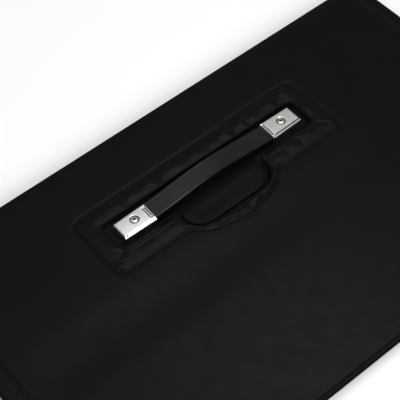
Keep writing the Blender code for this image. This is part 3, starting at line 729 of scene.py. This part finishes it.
def make_liner():
    """Walls and dished floor of the recess, with the plinths under the caps."""
    wall = grown(OPENING, OVERHANG)
    plinths, collars = [], []
    for hand in HANDS:
        low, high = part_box(f"cap_screw_{hand}")
        screw = (low + high) / 2
        box = (screw.x - PLINTH[0], screw.x + PLINTH[0], screw.y - PLINTH[1], screw.y + PLINTH[1])
        plinths.append(resample(rounded_rectangle(*box, 2 * MM), 1.5 * MM))
        collars.append(grown(plinths[-1], 0.5 * MM))
    grid = lattice_over(wall, 2 * MM)
    grid = grid[signed(grid, wall) < -8 * MM]
    rings = [grown(wall, -d * MM) for d in (0.5, 1.1, 1.9, 2.7, 3.5, 4.3, 5.1, 6, 7)]
    loose = np.concatenate([*rings, *plinths, *collars, grid])
    loose = loose[signed(loose, wall) < -0.3 * MM]
    loose = thinned(loose, wall, 0.4 * MM)
    places, faces = patch(wall, [], loose)

    def floor(points):
        x, y = points.T / MM
        edge = distance(points, wall) / MM
        in_relief = ramp(OPEN_Y[0] / MM - y, -10, 6)
        right = ramp(x - RELIEF[1] / MM, -22, -6) * in_relief
        full = RECESS_DEPTH / MM
        cushion = full + (CUSHION_DEPTH + ramp(edge, 8, 22) - full) * in_relief
        moat = MOAT * (1 - right)
        deep = full - 0.3
        deep = deep + (cushion - deep) * ramp(edge, moat, moat + 3 + 11 * right)
        deep -= 0.8 * np.clip(1 - edge / 2.5, 0, 1) ** 2
        for plinth in plinths:
            deep = np.where(signed(points, plinth) < 1e-6, PLINTH_DEPTH / MM, deep)
        return deep * MM

    shape = bmesh.new()
    add_faces(shape, raised(places, TOP - floor(places)), faces)
    rim = SKIN + 0.2 * MM
    below = floor(wall) - rim
    add_grid(shape, [raised(wall, TOP - rim - below * s) for s in (1, 0.6, 0.3, 0)], closed=True)
    piece = finished("recess_liner", shape, LINER_PAINTED_LIGHT, "upper_half", up=1)
    thickened(piece, 0.5 * MM)
    centres = face_centres(piece)[:, :2]
    x, y = centres.T
    # The channel along the near and left walls of the finger relief takes the near-black: painted shade
    in_moat_shade = (y < OPEN_Y[0] - 1 * MM) & (distance(centres, wall) < (MOAT + 0.7) * MM)
    in_moat_shade &= (x < RELIEF[1] - 9 * MM) | (y < RELIEF[2] + 15 * MM)
    painted(piece, in_moat_shade, MOAT_PAINTED_SHADE)
    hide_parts("recess_tray")


make_liner()


# Strap
STRAP_WIDTH = STRAP_HIGH.y - STRAP_LOW.y
STRAP_THICKNESS = 3.6 * MM
STRAP_ARCH_X = 80 * MM
STRAP_RISE = 6 * MM
STRAP_MIDDLE_Z = TOP + 1.7 * MM
STRAP_COLUMNS, STRAP_RIBS = 42, 12
STRAP_CORE = (14 * MM, 0.8 * MM)


def strap_height(x):
    share = np.clip(np.abs(x) / STRAP_ARCH_X, 0, 1)
    return STRAP_MIDDLE_Z + STRAP_RISE * np.cos(pi / 2 * share) ** 2


def strap_section():
    """Cross-section of the strap as (y, z) offsets: bevelled edges and fine ribs along its top."""
    half, thick = STRAP_WIDTH / 2, STRAP_THICKNESS / 2
    flat = half - 1.5 * MM
    edge = [(half, -0.4 * thick), (half, 0.15 * MM), (half - 0.2 * MM, 0.5 * MM)]
    edge += [(flat + 0.3 * MM, thick - 0.22 * MM)]
    points = [(-y, z) for y, z in edge] + [(-flat, thick)]
    for i in range(1, 2 * STRAP_RIBS):
        points.append((flat * (i / STRAP_RIBS - 1), thick - (0.1 * MM if i % 2 == 0 else 0)))
    points += [(flat, thick)] + edge[::-1]
    points += [(half - 0.8 * MM, -thick), (0, -thick), (-half + 0.8 * MM, -thick)]
    return points


def make_strap(hand, side):
    outer = np.array(strap_section())
    channel_y, channel_z = STRAP_CORE[0] / 2 + GAP, STRAP_CORE[1] / 2 + GAP
    corners = np.array([(-1, -1), (-1, 1), (1, 1), (1, -1)])
    inner = resample(corners * (channel_y, channel_z), 2 * channel_y / 6)

    def across(x, section):
        """The points of the cross-section that stand at x."""
        return [(side * x, HANDLE_Y + y, strap_height(x) + z) for y, z in section]

    shape = bmesh.new()
    for section in (outer, inner):
        rows = [across(x, section) for x in np.linspace(STRAP_HIGH.x, 0, STRAP_COLUMNS)]
        add_grid(shape, rows, closed=True)
    places, faces = patch(outer[::-1], [inner[::-1]], NO_POINTS)
    for x in (STRAP_HIGH.x, 0.0):
        add_faces(shape, across(x, places), faces)
    piece = finished(f"strap_{hand}", shape, STRAP_VINYL, smooth_angle=32)
    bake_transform(piece)
    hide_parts("strap_cover")

    core_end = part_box("strap_core")[1].x
    screw_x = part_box("cap_screw_right")[0].x / 2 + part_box("cap_screw_right")[1].x / 2
    half = STRAP_CORE[0] / 2
    band = resample(rounded_rectangle(0, core_end, -half, half, 0.5 * MM), 3 * MM)
    slot_box = (screw_x - 6 * MM, screw_x + 6 * MM, -2.2 * MM, 2.2 * MM)
    slot_hole = resample(rounded_rectangle(*slot_box, 2.1 * MM), 1.5 * MM)
    grid = lattice(np.arange(2, 97, 4) * MM, np.arange(-5.5, 6, 3.6) * MM)
    grid = grid[inside(grid, band) & (signed(grid, slot_hole) > 1 * MM)]
    places, faces = patch(band, [slot_hole], grid)
    shape = bmesh.new()
    heights = strap_height(places[:, 0]) + STRAP_CORE[1] / 2
    add_faces(shape, [(side * x, HANDLE_Y + y, z) for x, y, z in raised(places, heights)], faces)
    core = finished(f"strap_core_{hand}", shape, STEEL, up=1)
    thickened(core, STRAP_CORE[1], 40)
    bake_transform(core)
    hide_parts("strap_core")


for hand, side in HANDS.items():
    make_strap(hand, side)


# Caps and their screws
CAP_LENGTH = 35.8 * MM
CAP_SHIFT = {"left": (-2.4 * MM, -1.2 * MM), "right": (0.1 * MM, 0.2 * MM)}
CAP_NARROWER = 1.8 * MM
CAP_TAPER = 0.08
CORNER_STEPS, SIDE_STEPS = 6, 45
BEAD_HALF, BEAD_GROOVE = 6.2 * MM, 1.05 * MM
DIMPLE = ((4.9, 0.0), (4.65, 0.18), (4.45, 0.7), (4.3, 1.35), (3.9, 1.7), (2.6, 1.9))
# Profiles of the four sides of each cap, from the top down, as (inset from the outline, drop below the top)
NEAR_SIDE = {
    "left": ((2.6, 0), (2.35, 0.08), (2.1, 0.3), (1.4, 1.05), (1.1, 1.3), (0.4, 1.75), (0.12, 2.1), (0, 2.6)),
    "right": ((2.3, 0), (2.28, 0.06), (2.2, 0.4), (1.98, 1.3), (1.75, 1.5), (0.4, 1.8), (0.12, 2.1), (0, 2.6))
}
FAR_SIDE = ((1.1, 0), (0.8, 0.04), (0.5, 0.14), (0.28, 0.32), (0.12, 0.55), (0.04, 0.8), (0, 1.1), (0, 1.6))
END_SIDE = ((1.9, 0), (1.65, 0.08), (1.4, 0.28), (0.95, 0.75), (0.6, 1.2), (0.38, 1.8), (0.2, 3), (0.1, 4.6))
MOUTH_SIDE = {
    "left": (
        (0.8, 0), (0.5, 0.02), (0.3, 0.06), (0.05, 0.12),
        (-0.15, 0.2), (-0.35, 0.32), (-0.5, 0.5), (-0.6, 0.8),
    ),
    "right": ((3.5, 0), (3.3, 0.05), (3.1, 0.3), (2.6, 0.8), (1.4, 1.0), (0.7, 0.9), (0.3, 1.0), (0, 1.5)),
}


def cap_row(box, insets, drops, radius, side):
    """One line round a cap as (x, y, drop) points: four sides with a corner after each."""
    low_x, high_x, low_y, high_y = box
    near, far, outer, mouth = insets
    x0 = low_x + (mouth if side > 0 else outer)
    x1 = high_x - (outer if side > 0 else mouth)
    y0, y1 = low_y + near, high_y - far
    near, far, right, left = drops
    if side < 0:
        right, left = left, right
    corner_drops = ((left, near), (near, right), (right, far), (far, left))
    share = np.sin(np.radians(np.linspace(0, 90, CORNER_STEPS + 1))) ** 2
    heights = np.concatenate([a + (b - a) * share for a, b in corner_drops])
    line = raised(rounded_rectangle(x0, x1, y0, y1, radius, CORNER_STEPS), heights)
    row = []
    for k, corner in enumerate(np.split(line, 4)):
        following = line[(k + 1) * len(corner) % len(line)]
        row += [*corner]
        row += [corner[-1] + (following - corner[-1]) * t for t in np.linspace(0, 1, SIDE_STEPS + 1)[1:-1]]
    return np.array(row)


def make_cap(hand, side):
    low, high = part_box(f"handle_cap_{hand}")
    screw_low, screw_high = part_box(f"cap_screw_{hand}")
    screw = np.array([(screw_low.x + screw_high.x) / 2, (screw_low.y + screw_high.y) / 2])
    shift = CAP_SHIFT[hand]
    inner = (low.x if side > 0 else high.x) + shift[0]
    outer = inner + side * CAP_LENGTH
    box = (min(inner, outer), max(inner, outer), low.y + shift[1], high.y - CAP_NARROWER + shift[1])
    middle_y = (box[2] + box[3]) / 2
    top = high.z
    near_step = box[2] + 3.1 * MM
    bead_x = inner - 2.6 * MM
    radii, depths = np.array(DIMPLE[::-1]).T * MM

    def bead_off(points):
        """Distance from the groove round the bead, which is open at its far end."""
        x, y = points.T
        along = np.maximum(middle_y + 0.9 * MM - BEAD_HALF - y, 0)
        past_end = np.maximum(y - middle_y - 0.9 * MM - BEAD_HALF, 0)
        return np.hypot(np.abs(np.hypot(along, x - bead_x) - BEAD_GROOVE), past_end)

    def relief(points):
        x, y = points.T
        height = 0.1 * MM * hump(y, middle_y, 14 * MM)
        radius = np.hypot(x - screw[0], y - screw[1])
        height -= np.where(radius < radii[-1], np.interp(radius, radii, depths), 0)
        if side < 0:
            height -= 0.55 * MM * hump(bead_off(points), 0, 0.55 * MM)
            height -= 0.9 * MM * hump(x, outer + 4.2 * MM, 0.9 * MM) * ramp(near_step - y, -0.6 * MM, 0)
        return height

    rows = []
    for k, profiles in enumerate(zip(NEAR_SIDE[hand], FAR_SIDE, END_SIDE, MOUTH_SIDE[hand])):
        insets, drops = np.array(profiles).T * MM
        rows.append(cap_row(box, insets, drops, (0.4 + 0.06 * k) * MM, side))
    for depth in (5.5 * MM, top - low.z - 0.1 * MM):
        rows.append(cap_row(box, (0, 0, 0, 0), (depth,) * 4, 1.0 * MM, side))
    for row in rows:
        share = np.clip((row[:, 0] - inner) / (outer - inner), 0, 1)
        row[:, 1] = middle_y + (row[:, 1] - middle_y) * (1 - CAP_TAPER * share)

    top_line = rows[0][:, :2]
    step = 0.6 * MM
    lines_y = np.arange(box[2], box[3], step)
    grid = lattice(np.arange(box[0], box[1], step), lines_y)
    grid = grid[signed(grid, top_line) < -0.35 * MM]
    circles = [arc(*screw, r, 0, 360, 40)[:-1] for r in (*radii[::-1], 5.3 * MM)]
    grid = grid[np.hypot(*(grid - screw).T) > 5.6 * MM]
    bead_lines = NO_POINTS
    if side < 0:
        offsets = np.array([-0.55, -0.36, -0.18, 0, 0.18, 0.36, 0.55]) * MM
        lines_x = np.concatenate([bead_x - BEAD_GROOVE + offsets, bead_x + BEAD_GROOVE + offsets])
        bead_lines = lattice(lines_x, lines_y)
        bead_lines = bead_lines[signed(bead_lines, top_line) < -0.2 * MM]
        grid = grid[np.abs(grid[:, 0] - bead_x) > 1.9 * MM]
    places, faces = patch(top_line, [], np.concatenate([*circles, [screw], bead_lines, grid]))
    shape = bmesh.new()
    add_faces(shape, raised(places, top + relief(places)), faces)
    edge_heights = relief(top_line)
    walls = []
    for level, row in enumerate(rows):
        walls.append(raised(row[:, :2], top - row[:, 2] + edge_heights * max(1 - level / 4, 0)))
    mouth_half = STRAP_WIDTH / 2 - 0.2 * MM

    def closed(level, middle):
        """False where the strap enters."""
        return level <= 5 or abs(middle.x - inner) >= 0.5 * MM or abs(middle.y - HANDLE_Y) >= mouth_half

    add_grid(shape, walls, closed=True, keep=closed)
    piece = finished(f"cap_{hand}", shape, CHROME, "upper_half", up=1)
    thickened(piece, 0.7 * MM, 38)
    x, y, z = face_centres(piece).T
    drop, radius = (top - z) / MM, np.hypot(x - screw[0], y - screw[1]) / MM
    # Faces of the screw dimple, the bead groove and the right cap's near line take the darker metal: painted
    # shade
    crease = (radius > 3.3) & (radius < 4.45)
    in_mouth_painted_shade = np.zeros(len(x), bool)
    if side < 0:
        crease |= (bead_off(np.stack([x, y], 1)) < 0.4 * MM) & (drop < 1)
    else:
        near = middle_y - (middle_y - box[2]) * (1 - CAP_TAPER * (x - inner) / (outer - inner))
        off = (y - near) / MM
        crease |= (off > 1.7) & (off < 2.31) & (drop > 0.04)
        # Faces in the mouth of the right cap take the mid-dark metal: painted dark reflection
        depth = (x - inner) / MM
        in_mouth_painted_shade = (depth > 0.4) & (depth < 3.3) & (drop > 0.2) & (drop < 2)
        in_mouth_painted_shade &= (off > 3) & (y < box[3] - 1.5 * MM)
    painted(piece, np.where(crease, 1, 2 * in_mouth_painted_shade), CREASE_PAINTED_SHADE, MOUTH_PAINTED_SHADE)
    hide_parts(f"handle_cap_{hand}")
    make_screw(hand, screw, screw_low.z, screw_high.z)


# Oval head and top of the shank, as (radius, drop below the top) in mm
SCREW_HEAD = (
    (0, 0), (0.8875, 0.03), (1.775, 0.14), (2.6625, 0.36),
    (3.266, 0.6), (3.55, 0.85), (3.5145, 1), (1.75, 2.45),
)
# Half length and half width of each arm of the cross, and its height over the head
CROSS = ((0.9 * MM, 0.5 * MM, -2.2 * MM), (2.3 * MM, 0.7 * MM, 0.2 * MM))


def make_screw(hand, centre, low_z, high_z):
    """Oval head with a cross recess, on its shank."""
    profile = [(radius * MM, high_z - drop * MM) for radius, drop in SCREW_HEAD]
    profile += [(profile[-1][0], low_z + 0.5 * MM), (1.3 * MM, low_z), (0, low_z)]
    x, y = centre
    shape = bmesh.new()
    add_turned(shape, profile, lambda r, z, a: (x + r * cos(a), y + r * sin(a), z), 48)
    piece = finished(f"screw_{hand}", shape, SCREW, "upper_half")
    cutter = bmesh.new()
    for turn in (radians(20), radians(110)):
        along, across = Vector((cos(turn), sin(turn), 0)), Vector((-sin(turn), cos(turn), 0))
        rings = []
        for length, width, z in CROSS:
            middle = Vector((x, y, high_z + z))
            rings.append([middle + along * length * u + across * width * v for u, v in SQUARE])
        add_loft(cutter, rings)
    tool = linked("cross_cutter", mesh_from(cutter, "cross_cutter"))
    with_modifier(piece, 35, "BOOLEAN", operation="DIFFERENCE", solver="EXACT", object=tool, use_self=True)
    bpy.data.objects.remove(tool)
    off = (face_centres(piece) - (x, y, high_z)) / (3.55 * MM)
    out = np.hypot(off[:, 0], off[:, 1])
    # Faces inside the cross recess take the darker metal: painted shade
    painted(piece, (out < 0.7) & (off[:, 2] < -0.03 - 0.17 * out ** 2) & (off[:, 2] > -0.8), CREASE_PAINTED_SHADE)
    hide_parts(f"cap_screw_{hand}")


for hand, side in HANDS.items():
    make_cap(hand, side)


# Padding round the recess
PAD_OUTLINE = pocket_outline(
    -132 * MM, 131.5 * MM, 40 * MM, 108.5 * MM, (-60 * MM, 54 * MM, 14 * MM), 8 * MM, 24 * MM
)
PAD_UNDER_SKIN = 0.95 * MM
PAD_BOTTOM = TOP - 2.0 * MM


def make_padding():
    """Ring of foam that raises the cover round the recess."""
    outer = resample(PAD_OUTLINE, 3 * MM)
    inner = grown(OPENING, 2.6 * MM)
    grid = lattice_over(outer, 4 * MM)
    grid = grid[(signed(grid, outer) < -1.5 * MM) & (signed(grid, inner) > 1.5 * MM)]
    places, faces = patch(outer, [inner], grid)
    rims = np.minimum(distance(places, outer), distance(places, inner))
    around = lattice((-2, 0, 2), (-2, 0, 2)) * MM
    lowest = np.min([upper_relief(places + shift) for shift in around], axis=0)
    tops = TOP + lowest - PAD_UNDER_SKIN - 0.5 * MM * np.clip(1 - rims / (2 * MM), 0, 1) ** 2
    tops = np.maximum(tops, PAD_BOTTOM + 0.4 * MM)
    shape = bmesh.new()
    top, bottom = raised(places, tops), raised(places, PAD_BOTTOM)
    add_faces(shape, top, faces)
    add_faces(shape, bottom, faces[:, ::-1])
    for line in (slice(len(outer)), slice(len(outer), len(outer) + len(inner))):
        add_grid(shape, [top[line], bottom[line]], closed=True)
    piece = finished("recess_padding", shape, FOAM, "upper_half")
    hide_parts("recess_pad")


make_padding()


# Hems and edge tapes at the fold
HEM_THICKNESS = 0.28 * MM
HEM_Y = (163.4 * MM, 168.0 * MM)
TAPE_Y = 167.68 * MM
HEM_PROUD = 0.2 * MM
SLAB_COLUMNS = 60


def add_slab(shape, x_end, y0, y1, z0, z1):
    """A thin slab along X with softly rounded long edges."""
    section = rounded_rectangle(y0, y1, z0, z1, min(y1 - y0, z1 - z0) * 0.3, 1)
    add_loft(shape, [[(x, y, z) for y, z in section] for x in np.linspace(-x_end, x_end, SLAB_COLUMNS)])


def make_hem(half, sign):
    """Hem of the cover over the cell face at the fold, and the tape down the end of the core board."""
    board_low, board_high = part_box(f"core_board_{half}")
    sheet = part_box(f"front_sheet_{half}")
    face_z = sheet[1 if sign > 0 else 0].z
    outer_z = face_z + sign * HEM_PROUD
    tape_foot = board_low.z + 0.2 * MM if sign > 0 else board_high.z - 0.2 * MM
    shape = bmesh.new()
    levels = sorted((outer_z, outer_z - sign * HEM_THICKNESS))
    add_slab(shape, sheet[1].x, *HEM_Y, *levels)
    levels = sorted((outer_z - sign * 1.2 * HEM_THICKNESS, tape_foot))
    add_slab(shape, board_high.x, TAPE_Y, HEM_Y[1], *levels)
    piece = finished(f"fold_hem_{half}", shape, LEATHERETTE, f"{half}_half")
    return piece


HEM_LOWER = make_hem("lower", 1)
HEM_UPPER = make_hem("upper", -1)


# Piping of the spine, and how far below each face it starts and ends
PIPING_Y = (169.2 * MM, 170.6 * MM)
PIPING_DEPTH = (0.85 * MM, 2.7 * MM)


def make_piping(half, face_z, up):
    """Flat piping inside the raised edge of the spine."""
    levels = sorted(face_z - up * depth for depth in PIPING_DEPTH)
    shape = bmesh.new()
    add_slab(shape, SPINE_HIGH.x - 2 * MM, *PIPING_Y, *levels)
    piece = finished(f"fold_piping_{half}", shape, LEATHERETTE, "spine")


make_piping("lower", 0.0, -1)
make_piping("upper", TOP, 1)


def make_grommet():
    """Rubber ring where the output lead leaves. Its profile is (radius, distance outwards) in mm."""
    low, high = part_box("lead_outlet")
    y, z = (low.y + high.y) / 2, (low.z + high.z) / 2
    profile = [(0, 0.25), (0.9, 0.25), (1.15, 0.35), (1.35, 0.8), (1.6, 1.0), (2.3, 1.0), (2.75, 0.8)]
    profile += [(2.95, 0.4), (3.0, -0.3), (2.2, -0.6), (2.0, -3.0), (0, -3.0)]
    shape = bmesh.new()
    add_turned(
        shape, profile, lambda r, out, a: (-X_END - out * MM, y + r * MM * cos(a), z + r * MM * sin(a)), 40
    )
    piece = finished("lead_grommet", shape, RUBBER, "lower_half")
    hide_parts("lead_outlet")


make_grommet()


# Materials of the CAD nodes that stay
SILVER = (0.66, 0.66, 0.64)
RIBBON_HALF, FINGER_PITCH, FINGER_HALF = 0.62 * MM, 1.6 * MM, 0.045


def cell_material(name, row_low, row_high):
    """Dark silicon with fine silver fingers across it and five soldered ribbons along it."""
    n = Nodes(name)
    split = n.add("ShaderNodeSeparateXYZ", {0: n.place})
    pitch = (row_high - row_low) / 5
    along = n.math("DIVIDE", n.math("SUBTRACT", split.outputs["Y"], row_low), pitch)
    off = n.math("ABSOLUTE", n.math("SUBTRACT", n.math("FRACT", along), 0.5))
    ribbon = n.math("LESS_THAN", off, RIBBON_HALF / pitch)
    finger_at = n.math("FRACT", n.math("DIVIDE", split.outputs["X"], FINGER_PITCH))
    finger = n.math("LESS_THAN", n.math("ABSOLUTE", n.math("SUBTRACT", finger_at, 0.5)), FINGER_HALF)
    silicon = n.mix(n.spread(n.noise(35, 3), 0, 1), (0.005, 0.009, 0.028), (0.009, 0.014, 0.040))
    lined = n.mix(n.math("MULTIPLY", finger, 0.5), silicon, (0.30, 0.31, 0.33))
    return n.done(
        Base_Color=n.mix(ribbon, lined, SILVER),
        Roughness=n.spread(n.noise(300, 3), 0.24, 0.34),
        Metallic=n.math("MULTIPLY", ribbon, 0.9),
        Specular_IOR_Level=0.22,
    )


# The nodes that start with these names, and their material
CARRIED = (
    ("core_board", mottled(
        "core_board_pulp", (0.30, 0.29, 0.27), (0.40, 0.39, 0.36), (0.75, 0.9), 200, 0.15, 700,
    )),
    ("backsheet", mottled(
        "backsheet_black", (0.012, 0.012, 0.014), (0.017, 0.017, 0.019), (0.4, 0.55), 150, 0.02,
    )),
    (("row_link", "terminal_bar", "crossover_ribbon"), brushed(
        "tinned_ribbon", (0.60, 0.60, 0.58), (0.70, 0.70, 0.68), (0.28, 0.42), (1, 30, 1),
    )),
    ("closure_magnet", mottled(
        "magnet_nickel", (0.58, 0.58, 0.57), (0.66, 0.66, 0.65), (0.2, 0.3), 300, 0.003, 900, 1.0,
    )),
    (("junction_", "bypass_diode"), mottled(
        "box_plastic_grained", grey(0.010), grey(0.014), (0.5, 0.6), 90, 0.05,
    )),
    ("diode_board", mottled(
        "board_lacquer", (0.012, 0.085, 0.035), (0.02, 0.115, 0.05), (0.3, 0.45), 250, 0.02,
    )),
    ("front_sheet", mottled(
        "front_film_clear", (0.10, 0.11, 0.12), (0.14, 0.15, 0.16), (0.12, 0.22), 60, 0.01, 1600, Alpha=0.1,
    )),
    (("anchor_plate", "lid_screw"), STEEL),
)


def set_material(node, material):
    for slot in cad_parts[node].material_slots:
        slot.material = material


for starts, material in CARRIED:
    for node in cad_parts:
        if node.startswith(starts):
            set_material(node, material)
for row in ("near", "far"):
    low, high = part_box(f"cell_string_upper_{row}")
    material = cell_material(f"solar_cells_{row}", low.y, high.y)
    for half in ("lower", "upper"):
        set_material(f"cell_string_{half}_{row}", material)


# Floor, lights and camera
LENS = 99.6
CAMERA_PLACE = (-0.380, -0.452, TOP + 0.836)
CAMERA_RIGHT = (0.7773, -0.6269, -0.0518)
CAMERA_BACK = (-0.3388, -0.4867, 0.8053)
FLOOR_SIZE = 12.0
SKY = (0.9, 0.5)


def make_stage():
    mesh = bpy.data.meshes.new("floor")
    mesh.from_pydata([(x * FLOOR_SIZE, y * FLOOR_SIZE, 0) for x, y in SQUARE], [], [(0, 1, 2, 3)])
    floor = linked("floor", mesh)
    floor.location.z = -0.1 * MM
    paper = Nodes("floor_paper").done(Base_Color=grey(0.9), Roughness=0.9, Specular_IOR_Level=0.1)
    mesh.materials.append(paper)


def area_light(name, place, target, size, power):
    data = bpy.data.lights.new(name, "AREA")
    data.shape = "RECTANGLE"
    data.size, data.size_y = size
    data.energy = power
    lamp = linked(name, data)
    lamp.location = place
    lamp.rotation_euler = (Vector(target) - Vector(place)).to_track_quat("-Z", "Y").to_euler()


def make_camera():
    data = bpy.data.cameras.new("camera")
    data.sensor_width = 36
    data.lens = LENS
    camera = linked("camera", data)
    camera.location = CAMERA_PLACE
    right, back = Vector(CAMERA_RIGHT).normalized(), Vector(CAMERA_BACK).normalized()
    camera.rotation_euler = Matrix((right, back.cross(right), back)).transposed().to_euler()
    bpy.context.scene.camera = camera


make_stage()
area_light("key_light", (-0.33, -1.3, 0.95), (0, -0.05, 0), (1.4, 0.8), 16)
area_light("top_light", (0.0, 0.6, 2.0), (0.0, 0.6, 0), (1.6, 1.1), 10)
area_light("strip_light", (0.6, 0.05, 1.8), (0.05, 0.05, 0), (1.3, 0.4), 9.5)
world = bpy.data.worlds.new("studio")
bpy.context.scene.world = world
world.use_nodes = True
sky = world.node_tree.nodes["Background"].inputs
sky["Color"].default_value = (*grey(SKY[0]), 1)
sky["Strength"].default_value = SKY[1]
bpy.context.scene.view_settings.view_transform = "Standard"
make_camera()
